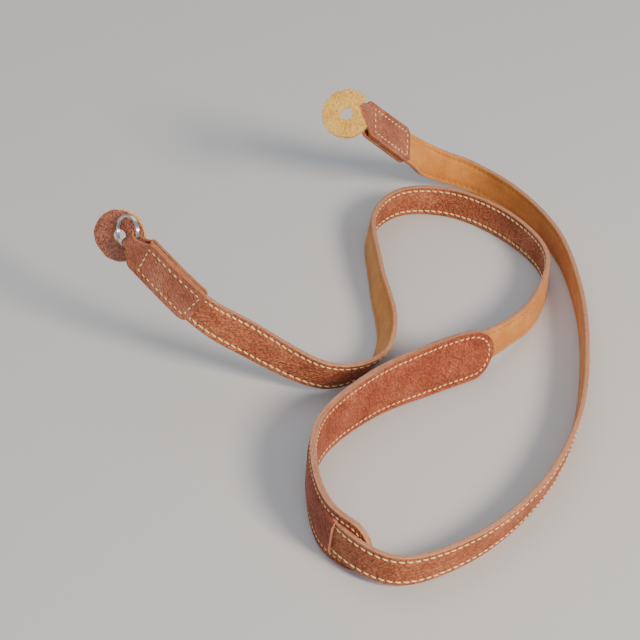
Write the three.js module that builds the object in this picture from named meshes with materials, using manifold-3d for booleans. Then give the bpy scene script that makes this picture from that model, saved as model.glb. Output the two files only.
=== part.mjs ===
import * as THREE from 'three';
import { mergeVertices } from 'three/addons/utils/BufferGeometryUtils.js';
import Module from 'manifold-3d';

// A leather camera neck strap, held at the height of a camera's two lugs while its middle
// stands on edge on the surface below. Millimetres, +Z up. The origin is the eye of the left
// lug, where the left ring hangs, +X runs to the right lug and +Y away from the strap's loops.

const wasm = await Module();
wasm.setup();

// Driving sizes in millimetres.
const lugSpan = 135;
const lugHeight = 65;
const clearance = 0.3;
const cornerCut = 0.45;

const strapWidth = 15.5;
const strapThickness = 2.2;
const strapStart = 11;

const tabLength = 39;
const tabWidth = 17.5;
const tabLeaf = 1.3;
const neckWidth = 7.5;
const neckLength = 0.4;
const shoulderLength = 4.8;
const tabCornerRadius = 3.5;

const ringOuterDiameter = 13.5;
const ringWireRadial = 1.3;
const ringWireAxial = 1.7;
const ringGroove = 0.3;

const guardDiameter = 22;
const guardThickness = 1.8;
const guardHole = 5.5;
const notchInset = 4.6;
const notchSkew = 16;
const notchSpread = 32;

const padStart = 414;
const padLength = 173;
const padWidth = 23.5;
const padLeaf = 1.2;
const padSeam = 3.4;
const slitInset = 16;
const crossingLength = 9;

// How finely the long pieces are cut along the strap.
const strapStep = 5;
const padStep = 5;
const roundSteps = 6;

// The band's route from the left ring to the right one. x and y are shares of lugSpan, lift is
// the height of the band's lower edge over the surface as a share of lugHeight, and lean is in
// degrees, how far the grain side looks up.
const route = [
    { place: 'left fold', x: -0.006, y: -0.057, lift: 0.89, lean: 3 },
    { place: 'left tab', x: 0.093, y: -0.257, lift: 0.464, lean: 8 },
    { place: 'below the tab', x: 0.175, y: -0.368, lift: 0.285, lean: 20 },
    { place: 'touching down', x: 0.335, y: -0.58, lift: 0.025, lean: -9 },
    { place: 'front turn', x: 0.497, y: -0.624, lift: 0, lean: -31 },
    { place: 'small loop rising', x: 0.64, y: -0.55, lift: 0, lean: -27 },
    { place: 'small loop middle', x: 0.834, y: -0.321, lift: 0, lean: -15 },
    { place: 'small loop shoulder', x: 1.044, y: -0.108, lift: 0, lean: -8 },
    { place: 'small loop top', x: 1.205, y: -0.09, lift: 0, lean: -1 },
    { place: 'small loop far end', x: 1.328, y: -0.21, lift: 0, lean: 3 },
    { place: 'small loop back', x: 1.367, y: -0.43, lift: 0, lean: 6 },
    { place: 'small loop return', x: 1.295, y: -0.673, lift: 0, lean: 1 },
    { place: 'before the pad', x: 1.09, y: -0.803, lift: 0.003, lean: -3 },
    { place: 'pad tip', x: 0.887, y: -0.845, lift: 0.053, lean: 0 },
    { place: 'first slit', x: 0.65, y: -0.815, lift: 0.063, lean: -13 },
    { place: 'pad straight', x: 0.35, y: -0.752, lift: 0.063, lean: -3 },
    { place: 'pad bend', x: 0.08, y: -0.784, lift: 0.063, lean: 1 },
    { place: 'pad curl', x: -0.105, y: -0.95, lift: 0.063, lean: 4 },
    { place: 'second slit', x: -0.183, y: -1.13, lift: 0.063, lean: 6 },
    { place: 'near turn', x: -0.14, y: -1.305, lift: 0.03, lean: -2 },
    { place: 'near side', x: 0.077, y: -1.388, lift: 0, lean: -7 },
    { place: 'near straight', x: 0.38, y: -1.387, lift: 0, lean: -10 },
    { place: 'outer curve', x: 0.7, y: -1.281, lift: 0, lean: -8 },
    { place: 'outer side', x: 1.02, y: -1.066, lift: 0, lean: -3 },
    { place: 'outer shoulder', x: 1.25, y: -0.85, lift: 0, lean: 0 },
    { place: 'outer far side', x: 1.42, y: -0.618, lift: 0, lean: 0 },
    { place: 'outer far end', x: 1.505, y: -0.36, lift: 0, lean: -1 },
    { place: 'lifting off', x: 1.497, y: -0.17, lift: 0.015, lean: -8 },
    { place: 'rising', x: 1.387, y: -0.07, lift: 0.151, lean: -15 },
    { place: 'right tab', x: 1.246, y: -0.054, lift: 0.446, lean: -40 },
    { place: 'right fold', x: 1.063, y: -0.021, lift: 0.85, lean: -46 },
];

// How each ring and guard hangs: the ring's turn about its fold, and the place of the guard's
// middle from the ring's middle with the way its outer face looks, turned from +X and raised.
const leftHang = { ringTurn: 40, guard: { x: 0.6, y: 5.4, z: -5.7, turn: -151, raise: 25, notchTurn: -42 } };
const rightHang = { ringTurn: 15, guard: { x: -9.08, y: -1.54, z: 2.08, turn: 26, raise: -42, notchTurn: 8 } };

const degrees = THREE.MathUtils.degToRad;
const up = new THREE.Vector3(0, 0, 1);

// Colours and finishes.
function finish(color, roughness, metalness = 0) {
    return new THREE.MeshStandardMaterial({ color, roughness, metalness });
}
const grainLeather = finish('#b06444', 0.6);
const edgeLeather = finish('#a85f40', 0.62);
const suede = finish('#dcae6c', 0.9);
const polishedSteel = finish('#c9c9c8', 0.22, 1);

// Route curve with its frame. along is the length from the left fold, run the way the band
// goes, across its width towards its upper edge, and out the way its grain side looks.
function makeBand(rows) {
    const halfWidth = strapWidth / 2;
    const points = rows.map(({ x, y, lift, lean }) => new THREE.Vector3(
        x * lugSpan,
        y * lugSpan,
        (lift - 1) * lugHeight + halfWidth * Math.cos(degrees(lean))
            + (strapThickness / 2) * Math.abs(Math.sin(degrees(lean))),
    ));
    const curve = new THREE.CatmullRomCurve3(points);
    curve.arcLengthDivisions = 4000;
    const leans = new THREE.CatmullRomCurve3(
        rows.map(({ lean }, row) => new THREE.Vector3(row, lean, 0)), false, 'catmullrom',
    );
    const length = curve.getLength();

    function frameAt(along) {
        const share = THREE.MathUtils.clamp(along / length, 0, 1);
        const t = curve.getUtoTmapping(share);
        const run = curve.getTangent(t).normalize();
        const level = new THREE.Vector3().crossVectors(run, up).normalize();
        const upright = new THREE.Vector3().crossVectors(level, run).normalize();
        const lean = degrees(leans.getPoint(t).y);
        const across = upright.clone().multiplyScalar(Math.cos(lean))
            .addScaledVector(level, -Math.sin(lean));
        const out = new THREE.Vector3().crossVectors(run, across);
        const past = along - share * length;
        const centre = curve.getPoint(t).addScaledVector(run, past);
        return { centre, run, across, out };
    }

    function place(along, across, out) {
        const frame = frameAt(along);
        return frame.centre.addScaledVector(frame.across, across).addScaledVector(frame.out, out);
    }
    return { length, frameAt, place };
}

// A closed body through sections of equally many points, with flat ends.
function loft(sections) {
    const sides = sections[0].length;
    const positions = sections.flat().flatMap((point) => [point.x, point.y, point.z]);
    const faces = [];
    for (let row = 0; row < sections.length - 1; row += 1) {
        for (let side = 0; side < sides; side += 1) {
            const next = (side + 1) % sides;
            const a = row * sides + side;
            const b = row * sides + next;
            const c = a + sides;
            const d = b + sides;
            faces.push(a, b, d, a, d, c);
        }
    }
    const last = (sections.length - 1) * sides;
    for (let side = 1; side < sides - 1; side += 1) {
        faces.push(0, side + 1, side);
        faces.push(last, last + side, last + side + 1);
    }
    const geometry = new THREE.BufferGeometry();
    geometry.setAttribute('position', new THREE.Float32BufferAttribute(positions, 3));
    geometry.setIndex(signedVolume(positions, faces) > 0 ? faces : turnedOver(faces));
    return geometry;
}

function signedVolume(positions, faces) {
    const corner = (index) => new THREE.Vector3().fromArray(positions, index * 3);
    let volume = 0;
    for (let face = 0; face < faces.length; face += 3) {
        const normal = corner(faces[face + 1]).cross(corner(faces[face + 2]));
        volume += corner(faces[face]).dot(normal) / 6;
    }
    return volume;
}

function turnedOver(faces) {
    const turned = [];
    for (let face = 0; face < faces.length; face += 3) {
        turned.push(faces[face], faces[face + 2], faces[face + 1]);
    }
    return turned;
}

// An oblong section with its four corners cut, as pairs of across and out.
function oblong(halfWidth, halfThickness, cut) {
    return [
        [halfWidth - cut, halfThickness], [halfWidth, halfThickness - cut],
        [halfWidth, cut - halfThickness], [halfWidth - cut, -halfThickness],
        [cut - halfWidth, -halfThickness], [-halfWidth, cut - halfThickness],
        [-halfWidth, halfThickness - cut], [cut - halfWidth, halfThickness],
    ];
}

function evenSteps(from, to, step) {
    const count = Math.ceil((to - from) / step);
    return Array.from({ length: count + 1 }, (_, index) => from + ((to - from) * index) / count);
}

function toSolid(geometry) {
    const bare = geometry.clone();
    bare.deleteAttribute('normal');
    bare.deleteAttribute('uv');
    const merged = mergeVertices(bare, 1e-4);
    return new wasm.Manifold(new wasm.Mesh({
        numProp: 3,
        vertProperties: new Float32Array(merged.attributes.position.array),
        triVerts: new Uint32Array(merged.index.array),
    }));
}

function fromSolid(solid) {
    const mesh = solid.getMesh();
    const geometry = new THREE.BufferGeometry();
    geometry.setAttribute('position', new THREE.BufferAttribute(mesh.vertProperties, 3));
    geometry.setIndex(new THREE.BufferAttribute(mesh.triVerts, 1));
    return geometry;
}

function piece(name, geometry, material) {
    const mesh = new THREE.Mesh(geometry, material);
    mesh.name = name;
    return mesh;
}

// The strap: one band whose two ends lie between the leaves of the tabs.
function strapGeometry(band, from, to, grow) {
    const section = oblong(strapWidth / 2 + grow, strapThickness / 2 + grow, cornerCut);
    return loft(evenSteps(from, to, strapStep)
        .map((along) => section.map(([across, out]) => band.place(along, across, out))));
}

// A tab: one strip of leather folded round the ring's wire, its two leaves on either side of
// the strap's end. The strip is followed from the free end of the outer leaf round the fold.
function tabGeometry(band, { mirrored, ringTurn }) {
    const leafOut = strapThickness / 2 + clearance + tabLeaf / 2;
    const turn = degrees(ringTurn);
    const wireHalf = Math.hypot(ringWireRadial, ringWireAxial) / 2;
    const foldRadius = wireHalf + clearance + tabLeaf / 2;
    const middleRadius = ringOuterDiameter / 2 - ringWireRadial / 2;
    const reach = middleRadius - Math.sqrt(middleRadius ** 2 - (neckWidth / 2) ** 2);
    const toRing = new THREE.Vector2(-Math.cos(turn), -Math.sin(turn));
    const side = new THREE.Vector2(-Math.sin(turn), Math.cos(turn));

    const strip = [];
    const leafEnds = [neckLength + shoulderLength, neckLength + shoulderLength / 2, neckLength];
    const leafAlongs = [...evenSteps(tabLength, leafEnds[0], -strapStep)];
    const cornerAlongs = [0, 0.08, 0.3, 0.6].map((share) => tabLength - share * tabCornerRadius);
    const outward = [...cornerAlongs, ...leafAlongs.slice(1), ...leafEnds.slice(1)];
    outward.forEach((along) => strip.push(new THREE.Vector2(along, leafOut)));
    for (let step = 0; step <= roundSteps; step += 1) {
        const angle = (Math.PI * step) / roundSteps;
        strip.push(toRing.clone().multiplyScalar(reach + foldRadius * Math.sin(angle))
            .addScaledVector(side, foldRadius * Math.cos(angle)));
    }
    [...outward].reverse().forEach((along) => strip.push(new THREE.Vector2(along, -leafOut)));

    const sections = strip.map((point, index) => {
        const before = strip[Math.max(index - 1, 0)];
        const after = strip[Math.min(index + 1, strip.length - 1)];
        const way = after.clone().sub(before).normalize();
        const normal = new THREE.Vector2(-way.y, way.x);
        const halfWidth = tabHalfWidth(point.x);
        return oblong(halfWidth, tabLeaf / 2, cornerCut / 2).map(([across, offset]) => {
            const x = point.x + normal.x * offset;
            const out = point.y + normal.y * offset;
            return band.place(mirrored ? band.length - x : x, across, out);
        });
    });
    return loft(sections);
}

// Half the tab's width at a distance from its ring: round corners at the free end, straight
// sides, then shoulders curving in to the neck.
function tabHalfWidth(along) {
    const fromEnd = tabLength - along;
    if (fromEnd < tabCornerRadius) {
        const inside = tabCornerRadius - fromEnd;
        return tabWidth / 2 - tabCornerRadius + Math.sqrt(tabCornerRadius ** 2 - inside ** 2);
    }
    const share = THREE.MathUtils.smoothstep(along, neckLength, neckLength + shoulderLength);
    return (neckWidth + (tabWidth - neckWidth) * share) / 2;
}

// The fold's frame: where the ring's wire passes and which way the ring's middle lies.
function foldFrame(band, { mirrored, ringTurn }) {
    const frame = band.frameAt(mirrored ? band.length : 0);
    const toRing = frame.run.clone().multiplyScalar(mirrored ? 1 : -1)
        .multiplyScalar(Math.cos(degrees(ringTurn)))
        .addScaledVector(frame.out, -Math.sin(degrees(ringTurn)));
    const middleRadius = ringOuterDiameter / 2 - ringWireRadial / 2;
    const middle = frame.centre.clone().addScaledVector(toRing, middleRadius);
    const axis = new THREE.Vector3().crossVectors(frame.across, toRing).normalize();
    return { middle, axis };
}

// A split ring: two flat turns of wire side by side, with the groove between them.
function ringGeometry() {
    const outer = ringOuterDiameter / 2;
    const inner = outer - ringWireRadial;
    const half = ringWireAxial / 2;
    const cut = ringGroove;
    const profile = [
        [inner, -half + cut], [inner + cut, -half], [outer - cut, -half], [outer, -half + cut],
        [outer, -cut / 2], [outer - cut, 0], [outer, cut / 2],
        [outer, half - cut], [outer - cut, half], [inner + cut, half], [inner, half - cut],
        [inner, -half + cut],
    ].map(([radius, height]) => new THREE.Vector2(radius, height));
    return new THREE.LatheGeometry(profile, 32).rotateX(Math.PI / 2);
}

// A guard: a leather disc with the lug's hole, and a flared notch in its rim for the tab's neck.
function guardGeometry() {
    const outline = new THREE.Shape();
    const radius = guardDiameter / 2;
    const notchHalf = neckWidth / 2 + clearance;
    const from = degrees(notchSkew + notchSpread);
    const to = degrees(360 + notchSkew - notchSpread);
    outline.absarc(0, 0, radius, from, to, false);
    outline.lineTo(radius - notchInset, -notchHalf);
    outline.lineTo(radius - notchInset, notchHalf);
    const hole = new THREE.Path();
    hole.absarc(0, 0, guardHole / 2, 0, 2 * Math.PI, true);
    outline.holes.push(hole);
    const options = { depth: guardThickness, bevelEnabled: false, curveSegments: 24 };
    return new THREE.ExtrudeGeometry(outline, options).translate(0, 0, -guardThickness / 2);
}

// The pad's half width at a distance from its first tip, with round tips.
function padHalfWidth(fromTip) {
    const radius = padWidth / 2;
    const toEnd = Math.min(fromTip, padLength - fromTip);
    if (toEnd >= radius) {
        return radius;
    }
    return Math.sqrt(radius ** 2 - (radius - toEnd) ** 2);
}

// Share of the way a leaf has crossed from the middle stretch to the tail behind the strap.
function padCrossing(fromTip) {
    const toEnd = Math.min(fromTip, padLength - fromTip);
    const inside = slitInset + crossingLength / 2;
    return 1 - THREE.MathUtils.smoothstep(toEnd, inside - crossingLength, inside);
}

// One leaf of the pad. between and seam are how far out its middle lies over the strap and
// along its sewn edges in the middle stretch, and tail how far out it lies behind the strap.
function padGeometry(band, { between, seam, tail }) {
    const tip = padWidth / 60;
    const radius = padWidth / 2;
    const tipSteps = [tip, 0.15 * radius, 0.4 * radius, 0.7 * radius, radius];
    const fromTips = [
        ...tipSteps,
        ...evenSteps(radius, padLength - radius, padStep).slice(1, -1),
        ...tipSteps.map((fromTip) => padLength - fromTip).reverse(),
    ];
    const sections = fromTips.map((fromTip) => {
        const half = padHalfWidth(fromTip);
        const crossed = padCrossing(fromTip);
        const inner = half * (1 - padSeam / radius);
        const overStrap = half * (strapWidth / 2 + clearance) / radius;
        const shape = [[half, seam], [inner, seam], [overStrap, between]]
            .map(([across, out]) => [across, THREE.MathUtils.lerp(out, tail, crossed)]);
        const mirror = shape.map(([across, out]) => [-across, out]).reverse();
        const line = [...shape, ...mirror];
        const above = line.map(([across, out]) => [across, out + padLeaf / 2]);
        const below = line.map(([across, out]) => [across, out - padLeaf / 2]).reverse();
        return [...above, ...below]
            .map(([across, out]) => band.place(padStart + fromTip, across, out));
    });
    return loft(sections);
}

const band = makeBand(route);
const strapEnd = band.length - strapStart;
const strap = new THREE.Group();
strap.name = 'camera_neck_strap';

strap.add(piece('strap_band', strapGeometry(band, strapStart, strapEnd, 0), grainLeather));

const strapFace = strapThickness / 2 + clearance;
const innerLeaf = padGeometry(band, {
    between: -(strapFace + padLeaf / 2),
    seam: -(clearance + padLeaf) / 2,
    tail: -(strapFace + clearance + padLeaf * 1.5),
});
const outerLeafWhole = padGeometry(band, {
    between: strapFace + padLeaf / 2,
    seam: (clearance + padLeaf) / 2,
    tail: -(strapFace + padLeaf / 2),
});
const passage = strapGeometry(band, padStart - strapStep, padStart + padLength + strapStep, clearance);
const outerLeaf = fromSolid(toSolid(outerLeafWhole).subtract(toSolid(passage)));
strap.add(piece('pad_inner_layer', innerLeaf, grainLeather));
strap.add(piece('pad_outer_layer', outerLeaf, edgeLeather));

[['left', leftHang, false], ['right', rightHang, true]].forEach(([side, hang, mirrored]) => {
    const end = { mirrored, ringTurn: hang.ringTurn };
    strap.add(piece(`tab_${side}`, tabGeometry(band, end), grainLeather));

    const { middle, axis } = foldFrame(band, end);
    const ring = piece(`ring_${side}`, ringGeometry(), polishedSteel);
    ring.position.copy(middle);
    ring.quaternion.setFromUnitVectors(up, axis);
    strap.add(ring);

    const guard = piece(`ring_guard_${side}`, guardGeometry(), suede);
    const face = new THREE.Vector3().setFromSphericalCoords(
        1, degrees(90 - hang.guard.raise), degrees(hang.guard.turn + 90),
    );
    const outward = new THREE.Vector3(face.x, -face.z, face.y);
    guard.position.copy(middle).add(new THREE.Vector3(hang.guard.x, hang.guard.y, hang.guard.z));
    const toFold = band.place(mirrored ? band.length : 0, 0, 0).sub(guard.position);
    const notchWay = toFold.addScaledVector(outward, -toFold.dot(outward)).normalize()
        .applyAxisAngle(outward, degrees(hang.guard.notchTurn));
    const sideways = new THREE.Vector3().crossVectors(outward, notchWay);
    guard.quaternion.setFromRotationMatrix(
        new THREE.Matrix4().makeBasis(notchWay, sideways, outward),
    );
    strap.add(guard);
});

export default strap;
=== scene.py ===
# Leather neck strap, with its two end rings held up and its middle standing on edge in two
# loops. Lengths are in metres. Bands are made flat first, with x along the strap, y across it
# towards its upper edge and z out of its grain side, and are then bent along the route.

import math
import random

import bmesh
import bpy
from mathutils import Matrix, Vector


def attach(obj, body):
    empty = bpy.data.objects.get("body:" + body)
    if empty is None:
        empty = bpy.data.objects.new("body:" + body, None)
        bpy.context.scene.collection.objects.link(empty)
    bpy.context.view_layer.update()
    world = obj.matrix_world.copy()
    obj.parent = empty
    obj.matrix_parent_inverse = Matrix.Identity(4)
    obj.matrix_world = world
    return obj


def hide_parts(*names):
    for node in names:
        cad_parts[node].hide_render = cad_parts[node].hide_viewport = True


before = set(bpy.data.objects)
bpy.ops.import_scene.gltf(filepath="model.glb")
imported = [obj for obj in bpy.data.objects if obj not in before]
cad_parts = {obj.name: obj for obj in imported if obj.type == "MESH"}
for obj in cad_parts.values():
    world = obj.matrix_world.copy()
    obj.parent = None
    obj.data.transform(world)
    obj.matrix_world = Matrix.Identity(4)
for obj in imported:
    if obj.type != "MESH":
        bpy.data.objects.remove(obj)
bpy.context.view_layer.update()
print("stage: frame loaded")


# Small helpers for colours, nodes, pieces and numbers.
def hexColour(code):
    def toLinear(pair):
        share = int(pair, 16) / 255
        return share / 12.92 if share <= 0.04045 else ((share + 0.055) / 1.055) ** 2.4
    return (*[toLinear(code[place:place + 2]) for place in (1, 3, 5)], 1)


def addNode(tree, kind, settings=None, links=None):
    node = tree.nodes.new(kind)
    for name, value in (settings or {}).items():
        if name == "ramp":
            stops = node.color_ramp.elements
            while len(stops) < len(value):
                stops.new(0.5)
            for stop, (place, code) in zip(stops, value):
                stop.position = place
                stop.color = hexColour(code)
        elif isinstance(name, int) or name in node.inputs:
            node.inputs[name].default_value = value
        else:
            setattr(node, name, value)
    for name, source in (links or {}).items():
        tree.links.new(source, node.inputs[name])
    return node


def startPiece(name, add, scale=(1, 1, 1), **settings):
    bpy.ops.object.select_all(action="DESELECT")
    add(**settings)
    piece = bpy.context.object
    piece.scale = scale
    piece.name = name
    piece.data.name = name
    bpy.ops.object.transform_apply(location=True, rotation=True, scale=True)
    return piece


def workOn(piece):
    bpy.ops.object.select_all(action="DESELECT")
    piece.select_set(True)
    bpy.context.view_layer.objects.active = piece


def pick(kind, test):
    bpy.ops.mesh.select_mode(type=kind)
    bpy.ops.mesh.select_all(action="DESELECT")
    mesh = bpy.context.object.data
    work = bmesh.from_edit_mesh(mesh)
    for part in {"VERT": work.verts, "EDGE": work.edges, "FACE": work.faces}[kind]:
        if test(part):
            part.select_set(True)
    bmesh.update_edit_mesh(mesh)


def cutAt(place, way):
    bpy.ops.mesh.select_all(action="SELECT")
    bpy.ops.mesh.bisect(plane_co=place, plane_no=way)


def applyAll(piece):
    workOn(piece)
    for modifier in list(piece.modifiers):
        bpy.ops.object.modifier_apply(modifier=modifier.name)


def smoothStep(value, low, high):
    share = min(max((value - low) / (high - low), 0), 1)
    return share * share * (3 - 2 * share)


def mix(low, high, share):
    return low + (high - low) * share


# The route of the strap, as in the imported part. x and y are shares of the span between the held
# ends, lift is the lower edge's height as a share of theirs, and lean is in degrees.
routeSizes = {
    "lugSpan": 0.135, "lugHeight": 0.065, "halfWidth": 0.00775, "halfThickness": 0.0011, "lead": 0.03,
}
routeRows = [
    ("left fold", -0.006, -0.057, 0.89, 3),
    ("left tab", 0.093, -0.257, 0.464, 8),
    ("below the tab", 0.175, -0.368, 0.285, 20),
    ("touching down", 0.335, -0.58, 0.025, -9),
    ("front turn", 0.497, -0.624, 0, -31),
    ("small loop rising", 0.64, -0.55, 0, -27),
    ("small loop middle", 0.834, -0.321, 0, -15),
    ("small loop shoulder", 1.044, -0.108, 0, -8),
    ("small loop top", 1.205, -0.09, 0, -1),
    ("small loop far end", 1.328, -0.21, 0, 3),
    ("small loop back", 1.367, -0.43, 0, 6),
    ("small loop return", 1.295, -0.673, 0, 1),
    ("before the pad", 1.09, -0.803, 0.003, -3),
    ("pad tip", 0.887, -0.845, 0.053, 0),
    ("first slit", 0.65, -0.815, 0.063, -13),
    ("pad straight", 0.35, -0.752, 0.063, -3),
    ("pad bend", 0.08, -0.784, 0.063, 1),
    ("pad curl", -0.105, -0.95, 0.063, 4),
    ("second slit", -0.183, -1.13, 0.063, 6),
    ("near turn", -0.14, -1.305, 0.03, -2),
    ("near side", 0.077, -1.388, 0, -7),
    ("near straight", 0.38, -1.387, 0, -10),
    ("outer curve", 0.7, -1.281, 0, -8),
    ("outer side", 1.02, -1.066, 0, -3),
    ("outer shoulder", 1.25, -0.85, 0, 0),
    ("outer far side", 1.42, -0.618, 0, 0),
    ("outer far end", 1.505, -0.36, 0, -1),
    ("lifting off", 1.497, -0.17, 0.015, -8),
    ("rising", 1.387, -0.07, 0.151, -15),
    ("right tab", 1.246, -0.054, 0.446, -40),
    ("right fold", 1.063, -0.021, 0.85, -46),
]


# Points and leans along the route: a centripetal spline through the rows.
def sampleRoute(steps):
    centres = []
    for _, x, y, lift, lean in routeRows:
        tip = math.radians(lean)
        height = (lift - 1) * routeSizes["lugHeight"]
        height += routeSizes["halfWidth"] * math.cos(tip)
        height += routeSizes["halfThickness"] * abs(math.sin(tip))
        centres.append(Vector((x * routeSizes["lugSpan"], y * routeSizes["lugSpan"], height)))
    leans = [row[4] for row in routeRows]
    centres = [2 * centres[0] - centres[1], *centres, 2 * centres[-1] - centres[-2]]
    leans = [2 * leans[0] - leans[1], *leans, 2 * leans[-1] - leans[-2]]
    samples = []
    for row in range(1, len(centres) - 2):
        a, b, c, d = centres[row - 1:row + 3]
        gaps = [math.sqrt((p - q).length) for p, q in ((b, a), (c, b), (d, c))]
        goOut = (b - a) / gaps[0] - (c - a) / (gaps[0] + gaps[1]) + (c - b) / gaps[1]
        comeIn = (c - b) / gaps[1] - (d - b) / (gaps[1] + gaps[2]) + (d - c) / gaps[2]
        leanOut = (leans[row + 1] - leans[row - 1]) / 2
        leanIn = (leans[row + 2] - leans[row]) / 2
        for step in range(steps + (row == len(centres) - 3)):
            t = step / steps
            curl = (2 * t**3 - 3 * t**2 + 1, t**3 - 2 * t**2 + t, 3 * t**2 - 2 * t**3, t**3 - t**2)
            place = curl[0] * b + curl[1] * gaps[1] * goOut + curl[2] * c + curl[3] * gaps[1] * comeIn
            lean = curl[0] * leans[row] + curl[1] * leanOut
            lean += curl[2] * leans[row + 1] + curl[3] * leanIn
            samples.append((place, lean))
    return samples


def makeGuide(name, places, tilts=None, closed=False):
    data = bpy.data.curves.new(name, "CURVE")
    data.dimensions = "3D"
    data.twist_mode = "Z_UP"
    data.use_path = True
    line = data.splines.new("POLY")
    line.points.add(len(places) - 1)
    for number, place in enumerate(places):
        line.points[number].co = (*place, 1)
        line.points[number].tilt = tilts[number] if tilts else 0
    line.use_cyclic_u = closed
    guide = bpy.data.objects.new(name, data)
    bpy.context.scene.collection.objects.link(guide)
    return guide


routeSamples = sampleRoute(24)
routeLength = sum((b[0] - a[0]).length for a, b in zip(routeSamples, routeSamples[1:]))
firstRun = (routeSamples[1][0] - routeSamples[0][0]).normalized()
lastRun = (routeSamples[-1][0] - routeSamples[-2][0]).normalized()
routePlaces = [
    routeSamples[0][0] - firstRun * routeSizes["lead"],
    *[place for place, _ in routeSamples],
    routeSamples[-1][0] + lastRun * routeSizes["lead"],
]
routeTilts = [math.radians(90 - lean) for _, lean in routeSamples]
routeGuide = makeGuide("routeGuide", routePlaces, [routeTilts[0], *routeTilts, routeTilts[-1]])
print("stage: route", round(routeLength * 1000, 1), "mm")


def followGuide(piece, guide):
    bend = piece.modifiers.new("bend", "CURVE")
    bend.object = guide
    bend.deform_axis = "POS_X"
    applyAll(piece)


# The flat form is kept for the grain, the dyed rim and the thread to follow, then the piece bends.
def keepFlat(piece):
    flat = piece.data.attributes.get("flat") or piece.data.attributes.new("flat", "FLOAT_VECTOR", "POINT")
    places = [0.0] * (3 * len(piece.data.vertices))
    piece.data.vertices.foreach_get("co", places)
    flat.data.foreach_set("vector", places)


def bendAlongRoute(piece, fromRight=False):
    if fromRight:
        turned = Matrix.Translation((routeLength, 0, 0)) @ Matrix.Rotation(math.pi, 4, "Z")
        piece.data.transform(turned)
    piece.data.transform(Matrix.Translation((routeSizes["lead"], 0, 0)))
    followGuide(piece, routeGuide)


# The end frame of the route: centre, run, across and out.
def endFrame(fromRight):
    place, lean = routeSamples[-1 if fromRight else 0]
    run = lastRun if fromRight else firstRun
    level = run.cross(Vector((0, 0, 1))).normalized()
    upright = level.cross(run).normalized()
    tip = math.radians(lean)
    across = upright * math.cos(tip) - level * math.sin(tip)
    return place, run, across, run.cross(across)


# Materials.
def newMaterial(name):
    material = bpy.data.materials.new(name)
    material.use_nodes = True
    tree = material.node_tree
    tree.nodes.clear()
    output = addNode(tree, "ShaderNodeOutputMaterial")
    shader = addNode(tree, "ShaderNodeBsdfPrincipled")
    tree.links.new(shader.outputs[0], output.inputs[0])
    return material, tree, shader


# The flat place of each point in millimetres, which the patterns follow.
def flatMillimetres(tree):
    flat = addNode(tree, "ShaderNodeAttribute", {"attribute_name": "flat"})
    scaled = addNode(tree, "ShaderNodeVectorMath", {"operation": "SCALE", "Scale": 1000},
                     {0: flat.outputs["Vector"]})
    return scaled.outputs[0]


def addRelief(tree, shader, height, strength, distance):
    bump = addNode(tree, "ShaderNodeBump", {"Strength": strength, "Distance": distance},
                   {"Height": height})
    tree.links.new(bump.outputs[0], shader.inputs["Normal"])


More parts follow.
